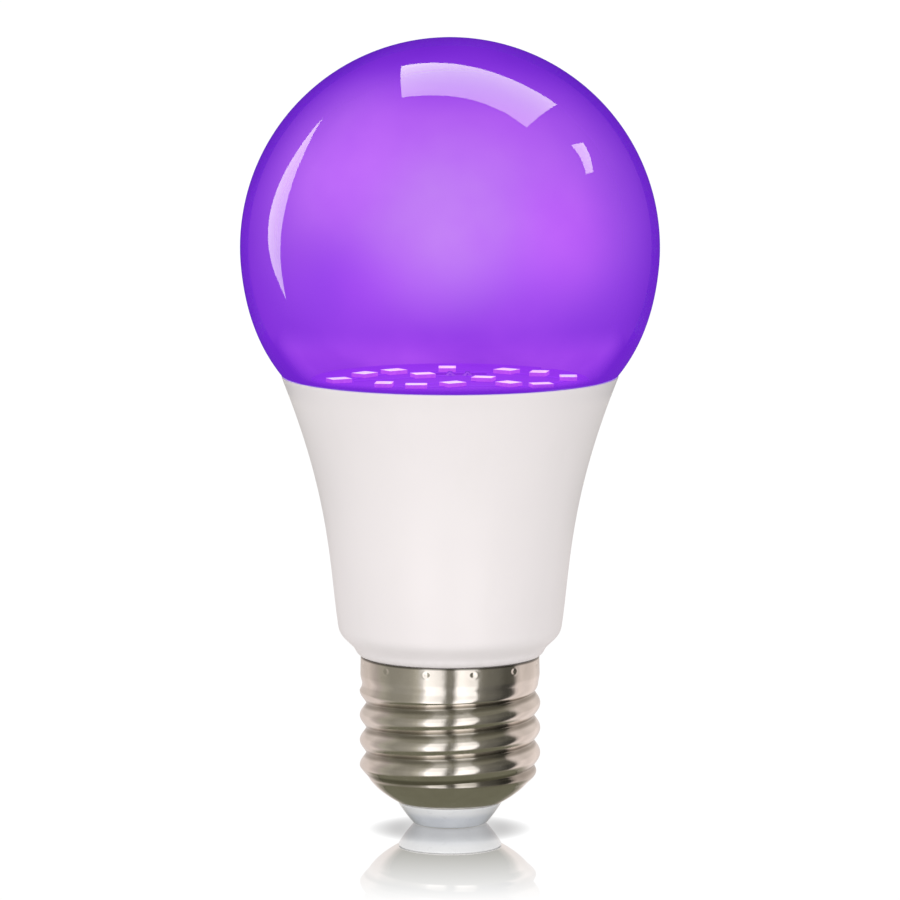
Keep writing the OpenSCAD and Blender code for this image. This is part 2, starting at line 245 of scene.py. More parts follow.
def ball(r, n):
    stop = math.acos(-FLANK / r)
    return [[r * math.sin(stop * i / n), DOME_Z + r * math.cos(stop * i / n)] for i in range(n)]


def dome_outer():
    s = Shader("dome_outer")
    x, y, z = s.xyz()
    cos = s.math("SUBTRACT", 1.0, s.n("LayerWeight", {"Blend": 0.5}).outputs["Facing"])
    clear = s.span(z, 0.0705, 0.0745, 0.86, 0.62, True)
    # the wall seen edge on is solid colour, also in the clear band
    edge = s.math("MAXIMUM", s.span(z, 0.0700, 0.0750, 0, 1, True), s.span(cos, 0.30, 0.52, 0, 1, True))
    clear = s.math("MULTIPLY", clear, edge)
    see = s.math("MULTIPLY", s.math("POWER", cos, s.span(z, 0.0700, 0.0750, 0.35, 1.6, True)), s.math("MULTIPLY", clear, s.span(z, 0.0655, 0.0666, 0.10, 1.0, True)))
    cloud = s.noise(38, 2, 0.5)
    body = s.mix(s.span(cloud, 0.35, 0.7, 0, 1), (0.085, 0.006, 0.29, 1), (0.115, 0.011, 0.33, 1))
    fine = s.noise(1500, 2, 0.5)
    skin = s.principled(Base_Color=body, Roughness=s.span(fine, 0.3, 0.7, 0.006, 0.022), IOR=1.5,
                        Emission_Color=s.mix(s.span(cloud, 0.35, 0.7, 0, 1), (0.084, 0.010, 0.39, 1), (0.102, 0.013, 0.42, 1)),
                        Emission_Strength=1.0, Normal=s.bump(s.noise(90, 1, 0.4), 0.003, 0.0002))
    return s.done(s.blend(see, skin, s.n("BsdfTransparent").outputs[0]))


def dome_inner():
    s = Shader("dome_inner")
    x, y, z = s.xyz()
    base = s.ramp(s.span(z, 0.064, 0.112, 0, 1), [
        (0.00, (0.30, 0.050, 0.72)), (0.06, (0.35, 0.066, 0.76)), (0.19, (0.46, 0.125, 0.86)), (0.27, (0.54, 0.16, 0.94)),
        (0.35, (0.61, 0.20, 0.95)), (0.44, (0.68, 0.23, 0.99)), (0.54, (0.74, 0.255, 1.03)), (0.65, (0.80, 0.27, 1.07)),
        (0.76, (0.80, 0.25, 1.09)), (0.85, (0.68, 0.19, 1.08)), (0.93, (0.46, 0.10, 0.95)), (1.00, (0.34, 0.05, 0.85))])
    back = s.math("ABSOLUTE", y)

    def spot(cx, cy, cz, r):
        p = s.n("CombineXYZ", {0: x, 1: back, 2: z}).outputs[0]
        d = s.n("VectorMath", {0: p, 1: (cx * MM, cy * MM, cz * MM)}, operation="DISTANCE").outputs["Value"]
        return s.span(d, 0.0, r * MM, 1, 0, True)

    col = s.mix(s.math("MULTIPLY", spot(-1, 28.5, 86, 19), 0.9), base, (0.78, 0.41, 0.94, 1))
    col = s.mix(s.math("MULTIPLY", spot(18, 22, 84, 14), 0.6), col, (1.0, 0.27, 1.22, 1))
    col = s.mix(s.math("MULTIPLY", spot(-18, 18, 97, 19), 0.95), col, (1.15, 0.42, 1.36, 1))
    col = s.mix(s.math("MULTIPLY", spot(-18, 24, 75, 13), 0.5), col, (0.42, 0.085, 0.95, 1))
    mottle = s.noise(55, 3, 0.55)
    col = s.mix(s.span(mottle, 0.42, 0.72, 0, 0.35), col, (0.62, 0.14, 1.02, 1))
    glow = s.principled(Base_Color=(0.02, 0.008, 0.05, 1), Roughness=0.6, Emission_Color=col, Emission_Strength=1.0,
                        Specular_IOR_Level=0.0)
    return s.done(s.blend(s.n("NewGeometry").outputs["Backfacing"], glow, s.n("BsdfTransparent").outputs[0]))


outer = ball(DOME_R, 84) + flank(DOME_R, [24.15, SEAM], [3.15, 3.9], 26)
inner = (ball(DOME_R - WALL, 84) + flank(DOME_R - WALL, [22.5, SEAM + 0.6], [3.2, 4], 26))[::-1]
foot = rounded(outer[-2], outer[-1], [22.15, SEAM], 0.12, 4)
ring = [[*p, 0] for p in outer[:-1]] + [[*p, 0] for p in foot] + [[22.15, SEAM, 0], [22.15, 63.4, 0], [22.05, 63.3, 0],
        [21.4, 63.3, 0], [21.3, 63.4, 1], [21.3, 64.9, 1], [21.5, 65.1, 1]] + [[*p, 1] for p in inner]
v, f, zones = lathe(ring, 224, closed=False)
dome = make("dome_shell", v, f, [dome_outer(), dome_inner()], zones, sharp=50)
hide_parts("diffuser_dome")

# ------------------------------------------------------------- housing
FLARE = [[24.3, 65.3], [17.2, 47.6], [17.4, 37.7], [16.15, 29]]
SHOULDER = [[16.15, 29], [15.95, 27.5], [15, 27.1], [14, 26]]


def housing_material():
    s = Shader("housing_plastic")
    x, y, z = s.xyz()
    broad = s.noise(45, 2, 0.5)
    col = s.mix(s.span(broad, 0.3, 0.7, 0, 1), srgb(245, 239, 239), srgb(249, 243, 243))
    smudge = s.noise(160, 4, 0.6, s.stretched(1, 1, 0.35))
    col = s.mix(s.span(smudge, 0.56, 0.8, 0, 0.10), col, srgb(226, 222, 216))
    # darker in noisy patches towards the lip at the bottom of the housing
    lip = s.span(z, 0.0262, 0.0247, 0, 1)
    lip_patches = s.math("MULTIPLY", lip, s.span(s.noise(900, 3, 0.6), 0.4, 0.7, 0, 0.25))
    col = s.mix(lip_patches, col, srgb(205, 200, 194))
    fine = s.noise(5200, 2, 0.5)
    pearl = s.noise(700, 3, 0.55)
    rough = s.math("ADD", s.span(smudge, 0.3, 0.75, 0.34, 0.46), s.span(fine, 0.3, 0.7, -0.03, 0.03))
    norm = s.bump(fine, 0.12, 0.00002, s.bump(pearl, 0.06, 0.00006))
    return s.done(s.principled(Base_Color=col, Roughness=rough, Normal=norm, Subsurface_Weight=0.0, IOR=1.48))


flare = bez(FLARE, 64)
rim = rounded([22.25, SEAM], [24.3, SEAM], flare[2], 0.22, 5)
side = [p for p in flare[1:] if p[1] < SEAM - 0.35]
lip = [[13.72, 25.6], [13.5, 25.2], [13.18, 24.85], [12.95, 24.7]]
lip_curve = bez(SHOULDER, 14)[1:] + [[13.82, 25.76], [13.7, 25.52], [13.58, 25.3], [13.42, 25.08], [13.2, 24.87], [13.05, 24.76], [12.9, 24.7]]
inside = [[p[0] - 1.5, p[1]] for p in bez(FLARE, 32, 0.05)][::-1]
profile = rim + side + lip_curve + [[12.5, 24.7], [12.5, 22.4], [11.6, 21.6], [11.6, 9.4], [11.2, 9], [10.3, 9], [10.3, 25.5]] \
    + inside + [[22.25, 62.9], [22.25, SEAM - 0.1], [22.35, SEAM]]
v, f, zones = lathe([[*p, 0] for p in profile], 192)
shell_mat = housing_material()
housing = make("housing_shell", v, f, [shell_mat], sharp=40)
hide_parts("housing")

# ------------------------------------------------------------- screw cap
THREAD_TOP, BOWL_Z, CREST_Z, PITCH, CREST_R, SHEET = 21.2, 7.7, 12.2, 3.629, 13.05, 0.3
BOWL = [[12.1, 7.7], [11.9, 6.6], [10.6, 5], [7.6, 3.3]]


def plain_r(z):
    return np.where(z > 22, 12.95 - 0.02 * (z - 22),
                    np.where(z > 18.6, 12.1 + 0.85 * (0.5 - 0.5 * np.cos(np.pi * (np.minimum(z, 22) - 18.6) / 3.4)), 12.1))


def fade(z):
    return np.where(z > 19.5, np.clip(1 - (z - 19.5) / 1.7, 0, 1), np.where(z < 8.4, np.clip(1 - (8.4 - z) / 2.2, 0, 1), 1.0))


def cap_mesh():
    n = 448
    a = np.arange(n) * 360.0 / n
    zs = np.concatenate([np.linspace(24.42, THREAD_TOP, 40), np.linspace(THREAD_TOP, BOWL_Z, 150)[1:]])
    low = np.array(bez(BOWL, 34))[1:]
    base = np.concatenate([plain_r(zs), low[:, 0]])
    zz = np.concatenate([zs, low[:, 1]])
    A, Z = np.meshgrid(a, zz, indexing="ij")
    B = np.broadcast_to(base, A.shape)
    u = (Z - CREST_Z) / PITCH - (A - 180) / 360
    wave = (0.5 + 0.5 * np.cos(2 * np.pi * u)) ** 0.66
    R = B + np.maximum(0, CREST_R - np.maximum(B, plain_r(Z))) * wave * fade(Z)
    # punched dimples that grip the housing's neck
    for k in range(12):
        c = -90 + 15 + 30 * k
        d = np.hypot((((A - c) + 180) % 360 - 180) * np.pi / 180 * 12.93 / 0.45, (Z - 23.6) / 0.42)
        R = R - 0.09 * np.clip(1 - d * d, 0, 1) ** 1.3 + 0.018 * np.exp(-((d - 1.3) / 0.3) ** 2)
    P = np.stack([R * np.cos(np.radians(A)), R * np.sin(np.radians(A)), Z], -1)
    da = np.roll(P, -1, 0) - np.roll(P, 1, 0)
    dz = np.gradient(P, axis=1)
    N = np.cross(da, -dz)
    N /= np.linalg.norm(N, axis=-1, keepdims=True)
    if (N[..., :2] * P[..., :2]).sum() < 0:
        N = -N
    Q = P - SHEET * N
    rows = [P[:, i] for i in range(P.shape[1])]
    # curled rim at the hole, then back up the inside
    end = P[:, -1]
    out = end / np.linalg.norm(end[:, :2], axis=1)[:, None]
    rows.append(np.stack([end[:, 0] - out[:, 0] * 0.22, end[:, 1] - out[:, 1] * 0.22, end[:, 2] + 0.04], -1))
    rows.append(np.stack([end[:, 0] - out[:, 0] * 0.30, end[:, 1] - out[:, 1] * 0.30, end[:, 2] + 0.18], -1))
    rows += [Q[:, i] for i in range(Q.shape[1] - 1, -1, -1)]
    top = P[:, 0] / np.linalg.norm(P[:, 0, :2], axis=1)[:, None]
    r0 = np.linalg.norm(P[:, 0, :2], axis=1)
    for dr, z in ((-0.27, 24.53), (-0.2, 24.59), (-0.08, 24.6), (-0.015, 24.55)):
        rows.append(np.stack([top[:, 0] * (r0 + dr), top[:, 1] * (r0 + dr), np.full(n, z)], -1))
    G = np.stack(rows, 1)
    m = G.shape[1]
    verts = (G.reshape(-1, 3) * MM).tolist()
    j, i = np.meshgrid(np.arange(n), np.arange(m), indexing="ij")
    k, l = (j + 1) % n, (i + 1) % m
    faces = np.stack([j * m + i, j * m + l, k * m + l, k * m + i], -1).reshape(-1, 4).tolist()
    return verts, faces


def nickel():
    s = Shader("cap_nickel")
    x, y, z = s.xyz()
    ang = s.math("ARCTAN2", y, x)
    cyl = s.n("CombineXYZ", {0: s.math("MULTIPLY", ang, 0.0125), 1: 0.0, 2: z}).outputs[0]
    up = s.n("Mapping", {"Vector": cyl, "Scale": (1, 1, 0.06)}).outputs[0]
    around = s.n("Mapping", {"Vector": cyl, "Scale": (0.05, 1, 1)}).outputs[0]
    draw = s.noise(2600, 3, 0.6, up)
    rolled = s.noise(3800, 3, 0.6, around)
    cloud = s.noise(260, 3, 0.55)
    stain = s.noise(120, 4, 0.6)
    col = s.mix(s.span(cloud, 0.35, 0.68, 0, 1), (0.80, 0.745, 0.69, 1), (0.86, 0.81, 0.76, 1))
    col = s.mix(s.span(stain, 0.55, 0.75, 0, 0.35), col, (0.66, 0.61, 0.53, 1))
    # painted shade: the roots of the thread are painted dark
    rad = s.math("SQRT", s.math("ADD", s.math("MULTIPLY", x, x), s.math("MULTIPLY", y, y)))
    root = s.math("MULTIPLY", s.span(rad, 0.01225, 0.01262, 1, 0, True), s.span(z, 0.0068, 0.0076, 0, 0.72, True))
    col = s.mix(root, col, (0.24, 0.215, 0.17, 1))
    # painted shadow: the top of the cap, in the crevice under the housing's lip, is painted dark
    col = s.mix(s.span(z, 0.02425, 0.02445, 0, 0.8), col, (0.10, 0.09, 0.075, 1))
    rough = s.math("ADD", s.span(draw, 0.3, 0.7, 0.09, 0.16), s.span(stain, 0.5, 0.75, 0.0, 0.08))
    norm = s.bump(draw, 0.10, 0.00003, s.bump(rolled, 0.08, 0.00003, s.bump(s.noise(380, 2, 0.5), 0.30, 0.0001)))
    return s.done(s.principled(Base_Color=col, Metallic=1.0, Roughness=rough, Normal=norm))


v, f = cap_mesh()
shell = make("cap_shell", v, f, [nickel()], sharp=60)
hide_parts("screw_shell")

# ------------------------------------------------------------- insulator and contact


def insulator_material():
    s = Shader("insulator")
    broad = s.noise(300, 3, 0.55)
    fine = s.noise(4000, 2, 0.5)
    col = s.mix(s.span(broad, 0.35, 0.68, 0, 1), (0.70, 0.73, 0.79, 1), (0.77, 0.80, 0.86, 1))
    # painted light: the upper part is painted whiter, the lower part left darker as shade
    col = s.mix(s.span(s.xyz()[2], 0.0014, 0.0026, 0, 0.85, True), col, (0.98, 0.985, 1.0, 1))
    col = s.mix(s.span(s.noise(1300, 3, 0.6), 0.6, 0.8, 0, 0.3), col, (0.45, 0.46, 0.48, 1))
    return s.done(s.principled(Base_Color=col, Roughness=s.span(broad, 0.3, 0.7, 0.14, 0.26),
                               Coat_Weight=0.3, Coat_Roughness=0.08, Normal=s.bump(fine, 0.08, 0.00003)))


def arc_pts(p0, c, p1, n):
    p0, c, p1 = (np.array(q, float) for q in (p0, c, p1))
    return [((1 - t) ** 2 * p0 + 2 * t * (1 - t) * c + t * t * p1).tolist() for t in np.linspace(0, 1, n)]


ins = [[2.05, 0.75], [4.68, 0.75], [4.68, 0.12], [4.75, 0.06], [4.9, 0.05], [5.1, 0.06], [5.3, 0.14]] \
    + arc_pts([5.42, 0.24], [6.5, 1.5], [7.38, 2.92], 14) + [[7.43, 3.02], [7.45, 3.1], [7.42, 3.18], [7.35, 3.23], [7.1, 3.3],
                                                         [7.1, 4.2], [8.2, 5.02], [8.3, 5.15], [8.3, 5.8], [2.05, 5.8]]
v, f, _ = lathe([[*p, 0] for p in ins], 160)
insulator = make("cap_glass", v, f, [insulator_material()], sharp=45)
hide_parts("cap_insulator")


def brass():
    s = Shader("contact_brass")
    x, y, z = s.xyz()
    r = s.math("SQRT", s.math("ADD", s.math("MULTIPLY", x, x), s.math("MULTIPLY", y, y)))
    rings = s.math("SINE", s.math("MULTIPLY", r, 42000.0))
    cloud = s.noise(700, 4, 0.6)
    col = s.mix(s.span(cloud, 0.35, 0.7, 0, 1), (0.62, 0.56, 0.42, 1), (0.80, 0.76, 0.66, 1))
    col = s.mix(s.span(r, 0.0016, 0.0024, 0.85, 0), col, (0.66, 0.67, 0.68, 1))
    rough = s.math("ADD", s.span(cloud, 0.3, 0.7, 0.22, 0.42), s.span(rings, -1, 1, -0.02, 0.02))
    norm = s.bump(rings, 0.05, 0.00001, s.bump(cloud, 0.3, 0.00008))
    return s.done(s.principled(Base_Color=col, Metallic=1.0, Roughness=rough, Normal=norm))


def contact_mesh():
    """The rivet's head with a soldered middle, its shank and its spread end, bored for the lead."""
    n = 128
    pts = [[0, 0.0], [1.0, 0.0], [1.9, 0.0], [2.15, 0.035], [2.4, 0.04], [2.65, 0.01], [3.2, 0.0], [4.1, 0.0]]
    pts += arc_pts([4.15, 0.005], [4.58, 0.08], [4.6, 0.45], 8) + [[4.6, 0.66], [4.55, 0.72], [2, 0.72], [2, 5.7], [2.1, 5.82],
            [2.6, 5.87], [2.58, 6.05], [2.5, 6.15], [0.95, 6.15], [0.9, 6.1], [0.9, 1.0], [0, 1.0]]
    return lathe([[*p, 0] for p in pts], n, closed=False)


v, f, _ = contact_mesh()
contact = make("tip_contact", v, f, [brass()], sharp=40)
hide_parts("center_contact")

# ------------------------------------------------------------- LED board, chips, traces
LEDS = [[-15.9, -3, 25], [-12.3, 3.9, 50], [-8.1, 7.5, 35], [-3.9, 3, 20], [-0.4, 10.9, 90], [4.8, -1.2, -15], [8.2, 8.1, -35],
        [12.9, 5.4, 80], [17, 0, 90], [-9.4, -8.1, 85], [-4.8, -9.9, 0], [0.4, -7.6, 35], [8.4, -7.4, -45], [13, -9, 15]]


def board_material():
    s = Shader("led_board_mask")
    x, y, z = s.xyz()
    cloud = s.noise(220, 3, 0.55)
    weave = s.n("TexWave", {"Vector": s.stretched(1, 1, 1), "Scale": 380.0, "Distortion": 1.0, "Detail": 2.0}).outputs["Fac"]
    # painted light: the mask's violet tone and its emission stand in for the chips' light falling on it
    col = s.mix(s.span(cloud, 0.35, 0.7, 0, 1), (0.15, 0.026, 0.34, 1), (0.19, 0.034, 0.40, 1))
    glow = s.mix(s.span(cloud, 0.35, 0.7, 0, 1), (0.135, 0.014, 0.36, 1), (0.165, 0.019, 0.41, 1))
    return s.done(s.principled(Base_Color=col, Roughness=s.span(cloud, 0.3, 0.7, 0.35, 0.5), Emission_Color=glow,
                               Emission_Strength=1.0, Normal=s.bump(weave, 0.05, 0.00003)))


def trace_material():
    s = Shader("board_trace")
    cloud = s.noise(900, 3, 0.55)
    # painted light: the runs' violet tone and their emission stand in for the chips' light falling on them
    col = s.mix(s.span(cloud, 0.35, 0.7, 0, 1), (0.17, 0.030, 0.38, 1), (0.22, 0.040, 0.46, 1))
    glow = s.mix(s.span(cloud, 0.35, 0.7, 0, 1), (0.145, 0.015, 0.40, 1), (0.180, 0.022, 0.45, 1))
    return s.done(s.principled(Base_Color=col, Roughness=s.span(cloud, 0.3, 0.7, 0.3, 0.45), Emission_Color=glow,
                               Emission_Strength=1.0, Normal=s.bump(cloud, 0.1, 0.00002)))


def package_material():
    s = Shader("led_package")
    cloud = s.noise(1400, 3, 0.55)
    # painted glow: the package glows though it is no lamp, the rim round the window painted brightly lit, the sides
    # dimmer
    nz = s.n("SeparateXYZ", {0: s.n("NewGeometry").outputs["Normal"]}).outputs[2]
    top = s.span(nz, 0.5, 0.8, 0, 1)
    col = s.mix(s.span(cloud, 0.35, 0.7, 0, 1), (0.55, 0.30, 0.52, 1), (0.68, 0.40, 0.62, 1))
    return s.done(s.principled(Base_Color=col, Roughness=s.span(cloud, 0.3, 0.7, 0.3, 0.45),
                               Emission_Color=s.mix(top, s.mix(cloud, (0.26, 0.050, 0.38, 1), (0.34, 0.075, 0.44, 1)),
                                                    s.mix(cloud, (0.72, 0.46, 0.64, 1), (0.80, 0.62, 0.72, 1))), Emission_Strength=1.0,
                               Normal=s.bump(cloud, 0.1, 0.00002)))


def window_material():
    s = Shader("led_window")
    cloud = s.noise(520, 2, 0.5)
    spot = s.noise(160, 1, 0.5)
    col = s.mix(s.span(cloud, 0.35, 0.65, 0, 1), (0.80, 0.62, 0.74, 1), (0.83, 0.80, 0.82, 1))
    col = s.mix(s.span(spot, 0.55, 0.62, 0, 0.8), col, (0.66, 0.80, 0.82, 1))
    return s.done(s.principled(Base_Color=(0.5, 0.32, 0.45, 1), Roughness=s.span(cloud, 0.3, 0.7, 0.12, 0.25), Emission_Color=col,
                               Emission_Strength=1.0, Normal=s.bump(cloud, 0.1, 0.00004)))


def traces():
    """Raised copper runs under the board's mask, from the feed pins round all the chips in series."""
    order = [(0, 5.18)] + [tuple(LEDS[i][:2]) for i in (3, 0, 1, 2, 4, 6, 7, 8, 13, 12, 11, 10, 9, 5)] + [(2.54, 5.18)]
    verts, faces = [], []
    for (x0, y0), (x1, y1) in zip(order, order[1:]):
        d = np.array([x1 - x0, y1 - y0], float)
        d = d / np.linalg.norm(d)
        w = np.array([-d[1], d[0]]) * 0.45
        b = len(verts)
        ring = [(x0, y0) - w, (x1, y1) - w, (x1, y1) + w, (x0, y0) + w]
        inner_ring = [(x0, y0) - w * 0.8, (x1, y1) - w * 0.8, (x1, y1) + w * 0.8, (x0, y0) + w * 0.8]
        for z, rr in ((64.56, ring), (64.63, ring), (64.65, inner_ring)):
            verts += [(p[0] * MM, p[1] * MM, z * MM) for p in rr]
        for lo in (0, 4):
            for q in range(4):
                e = (q + 1) % 4
                faces.append((b + lo + q, b + lo + e, b + lo + 4 + e, b + lo + 4 + q))
        faces += [(b + 8, b + 9, b + 10, b + 11), (b + 3, b + 2, b + 1, b)]
    return verts, faces


v, f = traces()
runs = make("board_traces", v, f, [trace_material()], smooth=False)

solder_mat = stock("tinned_pin", (0.50, 0.36, 0.74), 1.0, 0.28, 0.06, 2500, 0.3)
sv, sf = [], []
for px in (0, 2.54):
    prof = [[0.33, 64.55], [0.85, 64.55], [0.85, 64.62], [0.7, 64.7], [0.52, 64.82], [0.42, 65.0], [0.36, 65.12], [0.3, 65.14]]
    v, f, _ = lathe([[*p, 0] for p in prof], 40)
    b = len(sv)
    sv += [(q[0] + px * MM, q[1] + 5.18 * MM, q[2]) for q in v]
    sf += [tuple(b + i for i in g) for g in f]
solder = make("pin_solder", sv, sf, [solder_mat], sharp=40)

# ------------------------------------------------------------- finishes of the kept CAD nodes
FINISH = {
    "dome_seal": stock("seal", (0.74, 0.74, 0.75), 0, 0.42, 0.05, 1200, 0.3),
    "heat_sink_cup": stock("cup_aluminium", (0.80, 0.81, 0.83), 1.0, 0.34, 0.05, 1500, 0.25, streak=(1, 1, 0.08)),
    "thermal_pad": stock("thermal_pad", (0.36, 0.42, 0.46), 0, 0.75, 0.12, 2400, 0.5),
    "led_board": board_material(),
    "led_packages": package_material(),
    "led_emitters": window_material(),
    "led_feed_pins": solder_mat,
    "driver_sleeve": stock("sleeve_plastic", (0.88, 0.88, 0.85), 0, 0.38, 0.04, 1400, 0.2),
    "driver_board": stock("driver_board", (0.03, 0.20, 0.08), 0, 0.32, 0.18, 1700, 0.3, streak=(1, 1, 3), coat=0.3),
    "driver_ic": stock("chip_plastic", (0.035, 0.035, 0.04), 0, 0.55, 0.2, 5000, 0.5),
    "bulk_capacitor": stock("capacitor_sleeve", (0.02, 0.035, 0.11), 0, 0.24, 0.15, 800, 0.15, coat=0.4),
    "output_capacitor": stock("capacitor_sleeve_dark", (0.025, 0.025, 0.03), 0, 0.26, 0.15, 800, 0.15, coat=0.4),
    "transformer_core": stock("ferrite", (0.05, 0.05, 0.055), 0.2, 0.6, 0.2, 3000, 0.6),
    "transformer_bobbin": stock("bobbin_plastic", (0.02, 0.022, 0.025), 0, 0.4, 0.15, 1800, 0.25),
    "transformer_winding": stock("winding_tape", (0.80, 0.52, 0.05), 0, 0.3, 0.12, 2200, 0.4, streak=(0.2, 0.2, 3), coat=0.4),
    "filter_choke": stock("choke_ferrite", (0.09, 0.055, 0.035), 0.1, 0.5, 0.2, 2800, 0.5, streak=(1, 1, 4)),
    "film_capacitor": stock("film_capacitor", (0.72, 0.44, 0.04), 0, 0.3, 0.1, 1500, 0.2, coat=0.3),
    "fuse_resistor": stock("resistor_body", (0.07, 0.33, 0.20), 0, 0.4, 0.14, 2000, 0.3),
    "radio_board": stock("radio_board", (0.012, 0.018, 0.03), 0, 0.3, 0.2, 1700, 0.3, coat=0.3),
    "radio_shield": stock("shield_steel", (0.74, 0.75, 0.76), 1.0, 0.26, 0.05, 1700, 0.2, streak=(1, 1, 0.1)),
    "radio_antenna": stock("antenna_copper", (0.86, 0.58, 0.24), 1.0, 0.3, 0.08, 2200, 0.3),
    "live_lead": stock("wire_red", (0.52, 0.02, 0.015), 0, 0.42, 0.12, 2000, 0.25),
    "neutral_lead": stock("wire_white", (0.80, 0.80, 0.82), 0, 0.42, 0.05, 2000, 0.25),
}
FINISH["bridge_rectifier"] = FINISH["driver_ic"]
REPLACED = {"diffuser_dome": dome.data.materials[0], "housing": shell_mat, "screw_shell": shell.data.materials[0],
            "cap_insulator": insulator.data.materials[0], "center_contact": contact.data.materials[0]}
for name, node in NODES.items():
    material = FINISH.get(name) or REPLACED[name]
    if not node.data.materials:
        node.data.materials.append(material)
    for slot in node.material_slots:
        slot.material = material

# ------------------------------------------------------------- studio


def show_only(o, *kinds):
    for kind in ("camera", "diffuse", "glossy", "transmission", "volume_scatter", "shadow"):
        setattr(o, "visible_" + kind, kind in kinds)


def floor_material():
    s = Shader("floor")
    x, y, z = s.xyz()
    r = s.math("SQRT", s.math("ADD", s.math("MULTIPLY", x, x), s.math("MULTIPLY", y, y)))
    # soft contact shadow at the foot, falling a little to the front
    yf = s.math("ADD", y, 0.0048)
    rs = s.math("SQRT", s.math("ADD", s.math("MULTIPLY", x, x), s.math("MULTIPLY", yf, yf)))
    shade = s.math("POWER", s.span(rs, 0.0050, 0.0117, 0.0, 1.0), 1.9)
    side = s.span(s.math("ABSOLUTE", x), 0.0035, 0.0085, 0.5, 1.0, True)
    shade = s.math("SUBTRACT", 1.0, s.math("MULTIPLY", s.math("SUBTRACT", 1.0, shade), side))
    white = s.mix(shade, (0.50, 0.495, 0.495, 1), (1.03, 1.03, 1.03, 1))
    level = s.math("SUBTRACT", 1.0, s.math("MULTIPLY", s.n("LightPath").outputs["Is Diffuse Ray"], 0.34))
    glow = s.n("Emission", {"Color": white, "Strength": level}).outputs[0]
    mirror = s.n("BsdfGlossy", {"Color": s.mix(shade, (0.50, 0.495, 0.495, 1), (1, 1, 1, 1)), "Roughness": 0.0}).outputs[0]
    f = s.math("MULTIPLY", s.n("Fresnel", {"IOR": 1.6}).outputs[0], s.span(r, 0.022, 0.062, 1.75, 0.0))
    seen = s.blend(f, glow, mirror)
    # seen from below, the floor isn't there
    return s.done(s.blend(s.n("NewGeometry").outputs["Backfacing"], seen, s.n("BsdfTransparent").outputs[0]))


F = 6.0
floor = make("floor", [(-F, -F, 0), (F, -F, 0), (F, F, 0), (-F, F, 0)], [(0, 1, 2, 3)], [floor_material()], smooth=False, body=None)
floor.visible_glossy = False
floor.visible_shadow = False


def lamp_material(name, strength, color=(1, 1, 0.5)):
    s = Shader(name)
    m = s.done(s.n("Emission", {"Color": (*color, 1), "Strength": strength}).outputs[0])
    m.cycles.emission_sampling = "NONE"
    return m


def smooth_dirs(dirs, n):
    """A smooth run of unit directions through (azimuth from the front, elevation) in degrees."""
    p = [np.array([math.sin(math.radians(a)) * math.cos(math.radians(e)), -math.cos(math.radians(a)) * math.cos(math.radians(e)),
                   math.sin(math.radians(e))]) for a, e in dirs]
    out = []
    for i in range(n + 1):
        u = i / n * (len(p) - 1)
        k = min(int(u), len(p) - 2)
        t = u - k
        a, b, c, d = p[max(k - 1, 0)], p[k], p[k + 1], p[min(k + 2, len(p) - 1)]
        q = 0.5 * (2 * b + (c - a) * t + (2 * a - 5 * b + 4 * c - d) * t * t + (3 * b - a - 3 * c + d) * t ** 3)
        out.append(q / np.linalg.norm(q))
    return out


# softboxes round the bulb, as directions from the dome's middle; they show as the highlights on its gloss
SOFTBOXES = {
    "softbox_left": ([(-129.4, 36), (-122.8, 25.8), (-121.1, 15.8), (-120.3, 7), (-118, -0.8), (-113.2, -8.5), (-105.9, -17.2)],
                     [(-129.4, 36), (-116.3, 29.3), (-109.7, 20), (-106.7, 10.2), (-105.7, 0.7), (-105.5, -8.4), (-105.9, -17.2)], 6.6),
    "softbox_top": ([(-161.4, 47.7), (-170.9, 52), (177.1, 55.1), (163, 56.1), (149.1, 54.3), (138.1, 49.8), (130.9, 43.4)],
                    [(-120.4, 69.3), (-129.2, 77.3), (-165.6, 83.7), (123.1, 81.8), (99.8, 74.5), (91.1, 66.2), (86.6, 57.5)], 7.4),
    "softbox_right": ([(113.2, 34.5), (110.5, 31.6), (107, 29), (102.9, 26.3)],
                      [(102.4, 38.8), (101.5, 34.9), (99.4, 31.3), (96.2, 27.7)], 9.4),
}
for name, (a, b, power) in SOFTBOXES.items():
    n = 36
    pa, pb = smooth_dirs(a, n), smooth_dirs(b, n)
    mid = np.array([0, 0, DOME_Z * MM])
    verts = [tuple(mid + q * 2.0) for q in pa + pb]
    faces = [(i, i + 1, n + 2 + i, n + 1 + i) for i in range(n)]
    o = make(name, verts, faces, [lamp_material(name, power)], smooth=False, body=None)
    show_only(o, "glossy")


